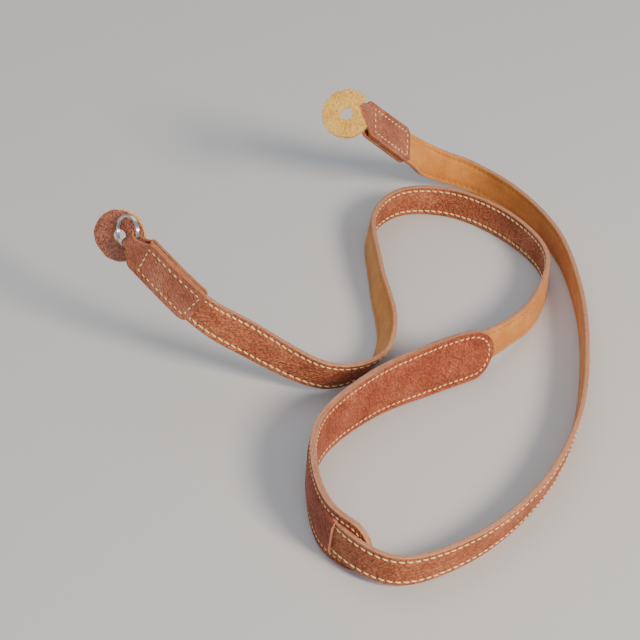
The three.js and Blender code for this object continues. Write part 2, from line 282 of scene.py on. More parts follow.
# Vegetable-tanned leather, grain side, dyed chestnut: soft pebbles drawn out in wrinkles one way, painted
# shade in the dips between them and painted light on their tops, cloudy dye, a low wax shine on the tops and
# a rubbed rim.
def makeGrainLeather(name, look):
    material, tree, shader = newMaterial(name)
    millimetres = flatMillimetres(tree)
    drift = addNode(tree, "ShaderNodeTexNoise", {"Scale": 0.45, "Detail": 2}, {"Vector": millimetres})
    pull = addNode(tree, "ShaderNodeVectorMath", {"operation": "MULTIPLY_ADD", 1: (1.6, 1.6, 1.6)},
                   {0: drift.outputs["Color"], 2: millimetres})
    drawn = addNode(tree, "ShaderNodeMapping",
                    {"vector_type": "TEXTURE", "Rotation": (0, 0, look["turn"]), "Scale": look["pebble"]},
                    {"Vector": pull.outputs[0]})
    cells = addNode(tree, "ShaderNodeTexVoronoi", {"feature": "SMOOTH_F1", "Scale": 1, "Smoothness": 0.25},
                    {"Vector": drawn.outputs[0]})
    folds = addNode(tree, "ShaderNodeMapping",
                    {"vector_type": "TEXTURE", "Rotation": (0, 0, look["turn"]), "Scale": look["wrinkle"]},
                    {"Vector": pull.outputs[0]})
    wrinkle = addNode(tree, "ShaderNodeTexNoise", {"Scale": 1, "Detail": 3, "Roughness": 0.55},
                      {"Vector": folds.outputs[0]})
    fine = addNode(tree, "ShaderNodeTexNoise", {"Scale": 2.4, "Detail": 4, "Roughness": 0.65},
                   {"Vector": millimetres})
    dips = addNode(tree, "ShaderNodeMath", {"operation": "MULTIPLY_ADD", 1: -0.75, 2: 0.55},
                   {0: cells.outputs["Distance"]})
    lumps = addNode(tree, "ShaderNodeMath", {"operation": "MULTIPLY_ADD", 1: 1.1},
                    {0: wrinkle.outputs[0], 2: dips.outputs[0]})
    relief = addNode(tree, "ShaderNodeMath", {"operation": "MULTIPLY_ADD", 1: 0.2},
                     {0: fine.outputs[0], 2: lumps.outputs[0]})
    cloud = addNode(tree, "ShaderNodeTexNoise", {"Scale": 0.07, "Detail": 4, "Roughness": 0.6},
                    {"Vector": millimetres})
    dye = addNode(tree, "ShaderNodeValToRGB",
                  {"ramp": [(0.3, look["deep"]), (0.52, look["colour"]), (0.74, look["bright"])]},
                  {"Fac": cloud.outputs[0]})
    # Painted shade and light: the dye is darkened in the dips and wrinkle creases and lifted on the pebble
    # tops.
    depth = addNode(tree, "ShaderNodeMapRange", {"From Min": 0.62, "From Max": 1.12, "To Min": look["shade"],
                                                 "To Max": 1.15}, {"Value": relief.outputs[0]})
    shaded = addNode(tree, "ShaderNodeVectorMath", {"operation": "SCALE"},
                     {0: dye.outputs["Color"], "Scale": depth.outputs["Result"]})
    across = addNode(tree, "ShaderNodeSeparateXYZ", {}, {0: millimetres})
    side = addNode(tree, "ShaderNodeMath", {"operation": "ABSOLUTE"}, {0: across.outputs["Y"]})
    rubbed = addNode(tree, "ShaderNodeMapRange", {"From Min": look["edge"] - 0.9, "From Max": look["edge"],
                                                  "To Max": 0.5}, {"Value": side.outputs[0]})
    patchy = addNode(tree, "ShaderNodeMath", {"operation": "MULTIPLY"},
                     {0: rubbed.outputs["Result"], 1: relief.outputs[0]})
    # The rubbed rim is real wear, mixed over the dye that carries the painted shade and light.
    wornAndShaded = addNode(tree, "ShaderNodeMix", {"data_type": "RGBA", 7: hexColour(look["rubbed"])},
                   {0: patchy.outputs[0], 6: shaded.outputs[0]})
    tree.links.new(wornAndShaded.outputs[2], shader.inputs["Base Color"])
    wax = addNode(tree, "ShaderNodeMapRange", {"From Min": 0.3, "From Max": 1.2,
                                               "To Min": look["roughness"] + 0.16,
                                               "To Max": look["roughness"] - 0.08},
                  {"Value": relief.outputs[0]})
    tree.links.new(wax.outputs["Result"], shader.inputs["Roughness"])
    shader.inputs["Specular IOR Level"].default_value = 0.22
    addRelief(tree, shader, relief.outputs[0], look["bump"], 0.0009)
    return material


# Split leather, flesh side: short matted fibres, matt and a little furry, tan with paler patches.
def makeFleshLeather(name, look):
    material, tree, shader = newMaterial(name)
    millimetres = flatMillimetres(tree)
    fibre = addNode(tree, "ShaderNodeTexNoise", {"Scale": 1 / look["fibre"], "Detail": 5, "Roughness": 0.7},
                    {"Vector": millimetres})
    cloud = addNode(tree, "ShaderNodeTexNoise", {"Scale": 0.09, "Detail": 3}, {"Vector": millimetres})
    blend = addNode(tree, "ShaderNodeMix", {"data_type": "FLOAT", 0: look["fibreShare"]},
                    {2: cloud.outputs[0], 3: fibre.outputs[0]})
    dye = addNode(tree, "ShaderNodeValToRGB",
                  {"ramp": [(0.34, look["deep"]), (0.5, look["colour"]), (0.66, look["bright"])]},
                  {"Fac": blend.outputs[0]})
    tree.links.new(dye.outputs["Color"], shader.inputs["Base Color"])
    shader.inputs["Roughness"].default_value = 0.9
    shader.inputs["Sheen Weight"].default_value = look["sheen"]
    shader.inputs["Sheen Roughness"].default_value = 0.5
    addRelief(tree, shader, fibre.outputs[0], look["bump"], 0.00025)
    return material


# Cut leather edge, sanded and sealed: pale, close and smooth.
def makeRimLeather(name, look):
    material, tree, shader = newMaterial(name)
    millimetres = flatMillimetres(tree)
    drawn = addNode(tree, "ShaderNodeMapping", {"Scale": (0.35, 0.35, 2.2)}, {"Vector": millimetres})
    fibre = addNode(tree, "ShaderNodeTexNoise", {"Scale": 1.1, "Detail": 4, "Roughness": 0.6},
                    {"Vector": drawn.outputs[0]})
    dye = addNode(tree, "ShaderNodeValToRGB",
                  {"ramp": [(0.3, look["deep"]), (0.5, look["colour"]), (0.7, look["bright"])]},
                  {"Fac": fibre.outputs[0]})
    tree.links.new(dye.outputs["Color"], shader.inputs["Base Color"])
    shader.inputs["Roughness"].default_value = 0.55
    addRelief(tree, shader, fibre.outputs[0], 0.25, 0.0001)
    return material


# Waxed linen thread: two plies laid up, cream, with a soft wax shine.
def makeThread(name, colour, shade):
    material, tree, shader = newMaterial(name)
    turned = addNode(tree, "ShaderNodeMapping", {"Rotation": (0, 0, 0.7)},
                     {"Vector": flatMillimetres(tree)})
    plies = addNode(tree, "ShaderNodeTexWave", {"Scale": 0.55, "Distortion": 0.6},
                    {"Vector": turned.outputs[0]})
    dye = addNode(tree, "ShaderNodeValToRGB", {"ramp": [(0.1, shade), (0.6, colour)]},
                  {"Fac": plies.outputs[1]})
    tree.links.new(dye.outputs["Color"], shader.inputs["Base Color"])
    shader.inputs["Roughness"].default_value = 0.62
    addRelief(tree, shader, plies.outputs[1], 0.4, 0.00008)
    return material


# Polished spring steel: mirror bright with faint drawing marks round the wire.
def makeSteel(name):
    material, tree, shader = newMaterial(name)
    place = addNode(tree, "ShaderNodeTexCoord")
    marks = addNode(tree, "ShaderNodeTexNoise", {"Scale": 2200, "Detail": 3},
                    {"Vector": place.outputs["Object"]})
    wear = addNode(tree, "ShaderNodeMapRange", {"To Min": 0.07, "To Max": 0.16}, {"Value": marks.outputs[0]})
    tree.links.new(wear.outputs["Result"], shader.inputs["Roughness"])
    tone = addNode(tree, "ShaderNodeValToRGB", {"ramp": [(0.3, "#d5d4d1"), (0.7, "#f0efec")]},
                   {"Fac": marks.outputs[0]})
    tree.links.new(tone.outputs["Color"], shader.inputs["Base Color"])
    shader.inputs["Metallic"].default_value = 1
    return material


grainLook = {
    "deep": "#a75a3a", "colour": "#c2704b", "bright": "#d3865f", "pebble": (1.3, 0.9, 1.0),
    "wrinkle": (3.2, 0.75, 1), "turn": 0.62, "shade": 0.6, "roughness": 0.52, "bump": 1.0, "edge": 7.75,
    "rubbed": "#c98258",
}
padLook = dict(grainLook, deep="#9d4a32", colour="#b35d40", bright="#c57354", turn=1.45, edge=11.75,
               pebble=(1.25, 0.95, 1), wrinkle=(2.8, 0.7, 1), shade=0.64)
tabLook = dict(grainLook, deep="#915139", colour="#a9664c", bright="#bc7c61", turn=0.3, shade=0.72,
               bump=0.5, edge=8.75)
guardLook = dict(grainLook, deep="#a35f48", colour="#b9745c", bright="#ca876f", turn=0.9, edge=11,
                 pebble=(0.9, 0.8, 1), wrinkle=(1.6, 0.8, 1), roughness=0.66, bump=1.0)
fleshLook = {
    "deep": "#b96f29", "colour": "#cf8536", "bright": "#e09c4d", "fibre": 0.9, "fibreShare": 0.55,
    "sheen": 0.1, "bump": 0.4,
}
suedeLook = {
    "deep": "#b67a28", "colour": "#eab04c", "bright": "#ffd67a", "fibre": 1.1, "fibreShare": 0.75,
    "sheen": 0.2, "bump": 1.0,
}
rimLook = {"deep": "#9d6445", "colour": "#b57c5b", "bright": "#c79270"}
# A darker copy of the rim leather: painted shade for the rims in and beside the tabs.
tabRimShadeLook = {"deep": "#874b2b", "colour": "#a0613b", "bright": "#b8784d"}
grainLeather = makeGrainLeather("chestnut_grain_leather", grainLook)
padLeather = makeGrainLeather("pebbled_pad_leather", padLook)
tabLeather = makeGrainLeather("smooth_tab_leather", tabLook)
guardLeather = makeGrainLeather("rough_guard_leather", guardLook)
fleshLeather = makeFleshLeather("tan_flesh_leather", fleshLook)
suedeLeather = makeFleshLeather("guard_suede", suedeLook)
rimLeather = makeRimLeather("sealed_leather_rim", rimLook)
tabRimShadeLeather = makeRimLeather("tab_rim_painted_shade", tabRimShadeLook)
creamThread = makeThread("waxed_cream_thread", "#ffe4a6", "#f0c886")
backThread = makeThread("sunk_tan_thread", "#bd7f3c", "#a0682c")
ringSteel = makeSteel("polished_ring_steel")
print("stage: materials")


# Gives faces of a flat piece their leather: grain on top, flesh or grain below, rim between.
def layLeather(piece, top, bottom, rim, split):
    for material in (top, bottom, rim):
        piece.data.materials.append(material)
    for face in piece.data.polygons:
        if face.normal.z > split:
            face.material_index = 0
        elif face.normal.z < -split:
            face.material_index = 1
        else:
            face.material_index = 2


def smoothPiece(piece, angle=40):
    workOn(piece)
    bpy.ops.object.shade_smooth_by_angle(angle=math.radians(angle))


# Gives a flat sheet its thickness and rounded edges, and smooths it where it is softened.
leafEdge = {"round": 0.0003, "segments": 2, "sharp": 50}


def thickenLeaf(piece, thickness, softened):
    thicken = piece.modifiers.new("thicken", "SOLIDIFY")
    thicken.thickness = thickness
    thicken.offset = 0
    rounded = piece.modifiers.new("rounded", "BEVEL")
    rounded.width = leafEdge["round"]
    rounded.segments = leafEdge["segments"]
    rounded.limit_method = "ANGLE"
    rounded.angle_limit = math.radians(leafEdge["sharp"])
    if softened:
        soften = piece.modifiers.new("soften", "SUBSURF")
        soften.levels = 1
        soften.render_levels = 1
    applyAll(piece)


def repeatAlong(piece, count, pitch, weld=0):
    repeat = piece.modifiers.new("repeat", "ARRAY")
    repeat.count = count
    repeat.use_relative_offset = False
    repeat.use_constant_offset = True
    repeat.constant_offset_displace = (pitch, 0, 0)
    if weld:
        repeat.use_merge_vertices = True
        repeat.merge_threshold = weld
    applyAll(piece)


def dressPiece(piece, slot, *nodes):
    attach(piece, "root")
    if nodes:
        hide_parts(*nodes)


# The strap: one stitch's length of the sewn band, repeated from tab to tab. Between the leaves
# of a tab it is wider and skived thin, and inside the pad it is narrower and pressed thinner.
strapShape = {
    "width": 0.0155, "thickness": 0.0022, "start": 0.0062, "pitch": 0.0031, "rimRound": 0.0005,
    "rimReach": 0.001, "rowInset": 0.0021, "grooveHalf": 0.00055, "grooveDepth": 0.0002,
    "holeDepth": 0.00022, "holeFrom": 0.37, "cuts": (0.12, 0.3, 0.5, 0.7, 0.88), "innerCut": 0.35,
    "weld": 0.000002, "tabEnd": 0.0375, "tabEase": 0.002, "tabWiden": 1.09, "tabThin": 0.58,
    "padFrom": 0.4315, "padTo": 0.5695, "padEase": 0.005, "padNarrow": 0.88, "padThin": 0.72,
}
tabPull = {
    "shear": 0.4, "free": 0.12, "grow": (0.0015, 0.0095), "ease": (0.01, 0.036), "fade": (0.037, 0.041),
}


# The left tab hangs pulled askew, its upper edge nearer to the ring than its lower one.
def pullLeftEnd(piece):
    pull = tabPull
    for vert in piece.data.vertices:
        along = vert.co.x
        share = smoothStep(along, *pull["grow"]) * (1 - smoothStep(along, *pull["fade"]))
        share *= mix(1, pull["free"], smoothStep(along, *pull["ease"]))
        vert.co.x -= pull["shear"] * vert.co.y * share


def fitStrap(piece):
    shape = strapShape
    for vert in piece.data.vertices:
        toEnd = min(vert.co.x, routeLength - vert.co.x)
        inTab = 1 - smoothStep(toEnd, shape["tabEnd"] - shape["tabEase"], shape["tabEnd"])
        inside = min(vert.co.x - shape["padFrom"], shape["padTo"] - vert.co.x)
        inPad = smoothStep(inside, 0, shape["padEase"])
        vert.co.y *= mix(1, shape["tabWiden"], inTab) * mix(1, shape["padNarrow"], inPad)
        vert.co.z *= mix(1, shape["tabThin"], inTab) * mix(1, shape["padThin"], inPad)
    pullLeftEnd(piece)


def makeStrap():
    shape = strapShape
    span = routeLength - 2 * shape["start"]
    count = round(span / shape["pitch"])
    pitch = span / count
    half = shape["width"] / 2
    row = half - shape["rowInset"]
    face = shape["thickness"] / 2
    strap = startPiece(
        "strap_leather", bpy.ops.mesh.primitive_cube_add, size=1,
        location=(shape["start"] + pitch / 2, 0, 0), scale=(pitch, shape["width"], shape["thickness"]),
    )
    bpy.ops.object.mode_set(mode="EDIT")
    pick("EDGE", lambda edge: abs(edge.verts[0].co.x - edge.verts[1].co.x) > pitch / 2)
    bpy.ops.mesh.bevel(offset=shape["rimRound"], segments=3)
    pick("FACE", lambda side: abs(side.normal.x) > 0.9)
    bpy.ops.mesh.delete(type="ONLY_FACE")
    for share in shape["cuts"]:
        cutAt((shape["start"] + pitch * share, 0, 0), (1, 0, 0))
    for side in (-1, 1):
        for offset in (-shape["grooveHalf"], 0, shape["grooveHalf"]):
            cutAt((0, side * (row + offset), 0), (0, 1, 0))
        cutAt((0, side * half * shape["innerCut"], 0), (0, 1, 0))
    for way in (-1, 1):
        inRow = lambda vert: abs(vert.co.z - way * face) < 1e-6 and abs(abs(vert.co.y) - row) < 1e-6
        pick("VERT", inRow)
        bpy.ops.transform.translate(value=(0, 0, -way * shape["grooveDepth"]))
        low = way * (face - shape["grooveDepth"])
        atHole = lambda vert: (abs(vert.co.z - low) < 1e-6 and abs(abs(vert.co.y) - row) < 1e-6
                               and abs(vert.co.x - shape["start"] - pitch / 2) > shape["holeFrom"] * pitch)
        pick("VERT", atHole)
        bpy.ops.transform.translate(value=(0, 0, -way * shape["holeDepth"]))
    bpy.ops.object.mode_set(mode="OBJECT")
    repeatAlong(strap, count, pitch, shape["weld"])
    bpy.ops.object.mode_set(mode="EDIT")
    for end in (shape["start"], shape["start"] + span):
        pick("EDGE", lambda edge: edge.is_boundary and abs(edge.verts[0].co.x - end) < 1e-5)
        bpy.ops.mesh.edge_face_add()
    bpy.ops.object.mode_set(mode="OBJECT")
    layLeather(strap, grainLeather, fleshLeather, rimLeather, split=0.8)
    # The fourth slot is the darker tab rim, painted shade on the strap's rim where it lies within the tabs.
    strap.data.materials.append(tabRimShadeLeather)
    for part in strap.data.polygons:
        toEnd = min(part.center.x, routeLength - part.center.x)
        if part.material_index == 2 and abs(part.center.y) < half - shape["rimReach"]:
            part.material_index = 0 if part.center.z > 0 else 1
        elif part.material_index == 2 and toEnd < shape["tabEnd"]:
            part.material_index = 3
    fitStrap(strap)
    keepFlat(strap)
    bendAlongRoute(strap)
    smoothPiece(strap)
    dressPiece(strap, "grain_leather", "strap_band")
    return count, pitch, row, face


# One stitch of thread, lying along x with its ends going down into the needle holes.
stitchShape = {
    "length": 0.0024, "width": 0.00076, "height": 0.00058, "dip": 0.00024, "slant": 11, "round": 0.00018,
    "tip": 0.0003, "rise": 0.00012, "bed": 0.0001, "sunk": 0.00022, "rest": 0.00002,
}


def makeStitch(name, stretch=1.0, slim=1.0):
    shape = stitchShape
    stitch = startPiece(
        name, bpy.ops.mesh.primitive_cylinder_add, vertices=8, radius=0.5, depth=1, end_fill_type="NGON",
        rotation=(0, math.pi / 2, 0),
        scale=(shape["height"], shape["width"] * slim, shape["length"] * stretch),
    )
    bpy.ops.object.mode_set(mode="EDIT")
    pick("FACE", lambda side: abs(side.normal.x) > 0.9)
    bpy.ops.mesh.bevel(offset=shape["round"], segments=1, affect="EDGES")
    reach = shape["length"] * stretch / 2
    cutAt((0, 0, 0), (1, 0, 0))
    pick("VERT", lambda vert: abs(vert.co.x) > reach - shape["tip"])
    bpy.ops.transform.translate(value=(0, 0, -shape["dip"]))
    bpy.ops.mesh.select_all(action="SELECT")
    bpy.ops.transform.rotate(value=math.radians(shape["slant"]), orient_axis="Z", center_override=(0, 0, 0))
    bpy.ops.object.mode_set(mode="OBJECT")
    return stitch


def joinPieces(name, pieces):
    workOn(pieces[0])
    for piece in pieces:
        piece.select_set(True)
    bpy.ops.object.join()
    joined = bpy.context.object
    joined.name = name
    joined.data.name = name
    return joined


def makeStrapStitches(count, pitch, row, face):
    shape = stitchShape
    for name, way, thread, sunk in (
        ("strap_stitches_front", 1, creamThread, 0), ("strap_stitches_back", -1, backThread, shape["sunk"]),
    ):
        rows = []
        for side in (-1, 1):
            stitch = makeStitch(name)
            stitch.data.transform(Matrix.Translation((0, 0, shape["rise"] - sunk)))
            if way < 0:
                stitch.data.transform(Matrix.Rotation(math.pi, 4, "X"))
            lift = way * (face - shape["bed"])
            stitch.data.transform(Matrix.Translation((strapShape["start"] + pitch / 2, side * row, lift)))
            repeatAlong(stitch, count, pitch)
            rows.append(stitch)
        stitches = joinPieces(name, rows)
        stitches.data.materials.append(thread)
        fitStrap(stitches)
        keepFlat(stitches)
        bendAlongRoute(stitches)
        smoothPiece(stitches, 60)
        dressPiece(stitches, "grain_leather")


strapRows = makeStrap()
makeStrapStitches(*strapRows)
print("stage: strap", strapRows[0], "stitches a row")


# The pad: two long oval leaves sewn round the rim. The strap runs between them and comes out
# through a slit near each tip of the outer leaf, whose tips then lie behind the strap.
padShape = {
    "start": 0.414, "length": 0.173, "width": 0.0235, "leaf": 0.00135, "over": 0.0015, "drop": 0.00285,
    "tailOver": 0.00185, "slitInset": 0.016, "crossing": 0.024, "bandHalf": 0.0064, "bandSlope": 0.0019,
    "slitHalf": 0.0083, "slitLip": 0.00205, "lip": (0.017, 0.023), "behind": (0.016, 0.026),
    "creases": [(0.0264, 0.00032), (0.0468, 0.00018)], "creaseHalf": 0.0012, "creaseLean": 0.15,
    "columns": 144, "rows": 20,
}
padSeam = {"inset": 0.0024, "pitch": 0.0026, "stretch": 0.85, "slim": 0.88, "turnSteps": 24}


def padCrossed(toEnd):
    inside = padShape["slitInset"] + padShape["crossing"] / 2
    return 1 - smoothStep(toEnd, inside - padShape["crossing"], inside)


# Height of a leaf's middle at a place in the flat pad. side is 1 for the outer leaf.
def leafHeight(x, y, side):
    shape = padShape
    toEnd = min(x, shape["length"] - x)
    crossed = padCrossed(toEnd)
    rim = side * shape["leaf"] / 2 - shape["drop"] * crossed
    if side > 0:
        band = mix(shape["slitLip"], shape["over"], smoothStep(toEnd, *shape["lip"]))
        if toEnd < shape["slitInset"]:
            band = min(rim, -shape["tailOver"])
    else:
        behind = 1 - smoothStep(toEnd, *shape["behind"])
        band = mix(-shape["over"], -shape["drop"] - shape["leaf"] / 2, behind)
    inBand = 1 - smoothStep(abs(y), shape["bandHalf"], shape["bandHalf"] + shape["bandSlope"])
    height = mix(rim, band, inBand)
    if side < 0:
        for place, depth in shape["creases"]:
            away = abs(x - place - shape["creaseLean"] * y)
            height += depth * max(0, 1 - away / shape["creaseHalf"])
    return height


def makePadLeaf(name, side, node):
    shape = padShape
    radius = shape["width"] / 2
    leaf = startPiece(
        name, bpy.ops.mesh.primitive_grid_add, x_subdivisions=shape["columns"], y_subdivisions=shape["rows"],
        size=1, location=(shape["length"] / 2, 0, 0), scale=(shape["length"], shape["width"], 1),
    )
    bpy.ops.object.mode_set(mode="EDIT")
    step = shape["length"] / shape["columns"]
    tipColumns = int(radius / step) + 1
    for column in range(tipColumns):
        for x in (column * step, shape["length"] - column * step):
            toEnd = max(column * step, 0.00025)
            share = math.sqrt(max(radius**2 - (radius - min(toEnd, radius)) ** 2, 0)) / radius
            pick("VERT", lambda vert: abs(vert.co.x - x) < step / 4)
            bpy.ops.transform.resize(value=(1, share, 1), center_override=(x, 0, 0))
    if side > 0:
        slits = [shape["slitInset"], shape["length"] - shape["slitInset"]]
        pick("FACE", lambda cell: any(abs(cell.calc_center_median().x - x) < step / 2 for x in slits)
             and abs(cell.calc_center_median().y) < shape["slitHalf"])
        bpy.ops.mesh.delete(type="FACE")
    work = bmesh.from_edit_mesh(leaf.data)
    for vert in work.verts:
        vert.co.z = leafHeight(vert.co.x, vert.co.y, side)
    bmesh.update_edit_mesh(leaf.data)
    bpy.ops.object.mode_set(mode="OBJECT")
    thickenLeaf(leaf, shape["leaf"], True)
    if side > 0:
        layLeather(leaf, padLeather, fleshLeather, rimLeather, split=0.6)
    else:
        layLeather(leaf, fleshLeather, padLeather, rimLeather, split=0.6)
    keepFlat(leaf)
    leaf.data.transform(Matrix.Translation((shape["start"], 0, 0)))
    bendAlongRoute(leaf)
    smoothPiece(leaf, 50)
    dressPiece(leaf, "pad_leather" if side > 0 else "grain_leather", node)


# The seam round the rim, sewn through both leaves.
def stadiumPath(length, width, inset, steps):
    radius = width / 2 - inset
    places = []
    for turn in range(steps + 1):
        angle = math.pi / 2 + math.pi * turn / steps
        places.append((width / 2 + radius * math.cos(angle), radius * math.sin(angle), 0))
    for turn in range(steps + 1):
        angle = -math.pi / 2 + math.pi * turn / steps
        places.append((length - width / 2 + radius * math.cos(angle), radius * math.sin(angle), 0))
    return places


def pathLength(places):
    return sum((Vector(b) - Vector(a)).length for a, b in zip(places, [*places[1:], places[0]]))


def sewLoop(name, places, pitch, stretch, slim):
    around = pathLength(places)
    count = round(around / pitch)
    stitch = makeStitch(name, stretch, slim)
    stitch.data.transform(Matrix.Translation((around / count / 2, 0, 0)))
    repeatAlong(stitch, count, around / count)
    loopGuide = makeGuide("loopGuide", places, closed=True)
    followGuide(stitch, loopGuide)
    bpy.data.objects.remove(loopGuide)
    return stitch


def makePadStitches():
    shape = padShape
    seam = padSeam
    places = stadiumPath(shape["length"], shape["width"], seam["inset"], seam["turnSteps"])
    for name, side in (("pad_stitches_outer", 1), ("pad_stitches_inner", -1)):
        stitches = sewLoop(name, places, seam["pitch"], seam["stretch"], seam["slim"])
        if side < 0:
            stitches.data.transform(Matrix.Scale(-1, 4, (0, 0, 1)))
            stitches.data.flip_normals()
        for vert in stitches.data.vertices:
            leafTop = leafHeight(vert.co.x, vert.co.y, side) + side * shape["leaf"] / 2
            vert.co.z += leafTop - side * stitchShape["rest"]
        stitches.data.materials.append(creamThread)
        keepFlat(stitches)
        stitches.data.transform(Matrix.Translation((shape["start"], 0, 0)))
        bendAlongRoute(stitches)
        smoothPiece(stitches, 60)
        dressPiece(stitches, "pad_leather")


makePadLeaf("pad_outer_leaf", 1, "pad_outer_layer")
makePadLeaf("pad_inner_leaf", -1, "pad_inner_layer")
makePadStitches()
print("stage: pad")


# The tabs: a strip folded round the ring's wire, its two leaves sewn through the strap's end.
tabShape = {
    "length": 0.039, "width": 0.0175, "leaf": 0.0013, "gap": 0.0003, "neckWidth": 0.0066,
    "neckRise": 0.0014, "straightFrom": 0.0066, "neckLength": 0.0004, "shoulder": 0.0048,
    "corner": 0.0035, "foldRadius": 0.00202, "foldSteps": 12, "reach": 0.00129, "columns": 96, "rows": 14,
}
tabSlopes = {"left": 0.0095, "right": 0.0056}
tabSeam = {"inset": 0.0029, "start": 0.008, "pitch": 0.0029, "stretch": 0.86, "slim": 0.84}
ringShape = {
    "outer": 0.0135, "wireWide": 0.0012, "wireHigh": 0.00084, "pitch": 0.00088, "sides": 10, "steps": 128,
    "cutTurn": 25,
}
ringTurns = {"left": 40, "right": 15}


# Half the tab's width at a distance from its fold. Where straight is given, the shoulder is a
# plain slope of that length in place of a rounded one.
def tabHalfWidth(along, straight):
    shape = tabShape
    fromEnd = shape["length"] - along
    half = shape["width"] / 2
    if fromEnd < shape["corner"]:
        inside = shape["corner"] - max(fromEnd, 0.0)
        return half - shape["corner"] + math.sqrt(max(shape["corner"] ** 2 - inside**2, 0))
    share = smoothStep(along, shape["neckLength"], shape["neckLength"] + shape["shoulder"])
    if straight:
        share = min(max((along + shape["neckRise"]) / straight, 0), 1)
    return mix(shape["neckWidth"] / 2, half, share)


# The side view of the folded strip, in x along the strap and z out, from the outer leaf's end,
# and a strip laid along it with its grain side outwards.
def layAlongFold(piece, path):
    reaches = [0]
    for a, b in zip(path, path[1:]):
        reaches.append(reaches[-1] + (b - a).length)
    for vert in piece.data.vertices:
        place = min(max(vert.co.x, 0), reaches[-1])
        part = max(number for number in range(len(path) - 1) if reaches[number] <= place)
        run = (path[part + 1] - path[part]).normalized()
        middle = path[part] + run * (vert.co.x - reaches[part])
        share = (place - reaches[part]) / (reaches[part + 1] - reaches[part])
        before = (path[part] - path[part - 1]).normalized() if part else run
        after = (path[part + 2] - path[part + 1]).normalized() if part < len(path) - 2 else run
        turned = mix(before + run, run + after, share).normalized()
        vert.co = middle + Vector((turned.z, 0, -turned.x)) * vert.co.z + Vector((0, vert.co.y, 0))


# How far a leaf's inner face lies from the middle of the strap's thinned end.
def leafInside():
    return strapShape["thickness"] / 2 * strapShape["tabThin"] + tabShape["gap"]


def foldPath(turn):
    shape = tabShape
    out = leafInside() + shape["leaf"] / 2
    toRing = Vector((-math.cos(turn), 0, -math.sin(turn)))
    sideways = Vector((-math.sin(turn), 0, math.cos(turn)))
    ends = (shape["length"], shape["straightFrom"], shape["shoulder"])
    places = [Vector((x, 0, out)) for x in ends]
    for step in range(shape["foldSteps"] + 1):
        angle = math.pi * step / shape["foldSteps"]
        around = toRing * (shape["reach"] + shape["foldRadius"] * math.sin(angle))
        places.append(around + sideways * (shape["foldRadius"] * math.cos(angle)))
    places += [Vector((x, 0, -out)) for x in reversed(ends)]
    # Two rounds of cutting the corners.
    for _ in range(2):
        cut = [places[0]]
        for a, b in zip(places, places[1:]):
            cut += [a.lerp(b, 0.25), a.lerp(b, 0.75)]
        places = [*cut, places[-1]]
    return places


def makeTab(side):
    shape = tabShape
    path = foldPath(math.radians(ringTurns[side]))
    total = sum((b - a).length for a, b in zip(path, path[1:]))
    strip = startPiece(
        f"tab_leather_{side}", bpy.ops.mesh.primitive_grid_add, x_subdivisions=shape["columns"],
        y_subdivisions=shape["rows"], size=1, location=(total / 2, 0, 0), scale=(total, shape["width"], 1),
    )
    bpy.ops.object.mode_set(mode="EDIT")
    step = total / shape["columns"]
    for column in range(shape["columns"] + 1):
        x = column * step
        along = shape["length"] - max(min(x, total - x), 0.0001)
        for upper in (False, True):
            straight = 0 if side == "left" and not upper else tabSlopes[side]
            share = tabHalfWidth(max(along, 0), straight) / (shape["width"] / 2)
            pick("VERT", lambda vert: abs(vert.co.x - x) < step / 4 and (vert.co.y > 1e-6) == upper)
            bpy.ops.transform.resize(value=(1, share, 1), center_override=(x, 0, 0))
    bpy.ops.object.mode_set(mode="OBJECT")
    thickenLeaf(strip, shape["leaf"], True)
    # Inner faces: the darker grain leather in place of the flesh side, painted shade in the gap between the
    # leaves; rims: the darker tab rim, also painted shade.
    layLeather(strip, tabLeather, tabLeather, tabRimShadeLeather, split=0.75)
    keepFlat(strip)
    layAlongFold(strip, path)
    if side == "left":
        pullLeftEnd(strip)
    bendAlongRoute(strip, side == "right")
    smoothPiece(strip, 50)
    dressPiece(strip, "grain_leather", f"tab_{side}")


def makeTabStitches(side):
    shape = tabShape
    seam = tabSeam
    high = shape["width"] / 2 - seam["inset"]
    low, far = seam["start"], shape["length"] - seam["inset"]
    corners = [(far, high, 0), (low, high, 0), (low, -high, 0), (far, -high, 0)]
    top = leafInside() + shape["leaf"]
    loops = []
    for way in (1, -1):
        loop = sewLoop(f"tab_stitches_{side}", corners, seam["pitch"], seam["stretch"], seam["slim"])
        if way < 0:
            loop.data.transform(Matrix.Scale(-1, 4, (0, 0, 1)))
            loop.data.flip_normals()
        loop.data.transform(Matrix.Translation((0, 0, way * (top - stitchShape["rest"]))))
        loops.append(loop)
    stitches = joinPieces(f"tab_stitches_{side}", loops)
    stitches.data.materials.append(creamThread)
    if side == "left":
        pullLeftEnd(stitches)
    keepFlat(stitches)
    bendAlongRoute(stitches, side == "right")
    smoothPiece(stitches, 60)
    dressPiece(stitches, "grain_leather")


# The split rings: a flattened wire wound twice round, its two turns touching.
def ringFrame(side):
    place, run, across, out = endFrame(side == "right")
    turn = math.radians(ringTurns[side])
    toRing = run * math.cos(turn) * (1 if side == "right" else -1) - out * math.sin(turn)
    middle = place + toRing * (ringShape["outer"] - ringShape["wireWide"]) / 2
    return middle, toRing, across.cross(toRing).normalized()


def placeMatrix(middle, first, normal):
    second = normal.cross(first).normalized()
    return Matrix.Translation(middle) @ Matrix((first, second, normal)).transposed().to_4x4()


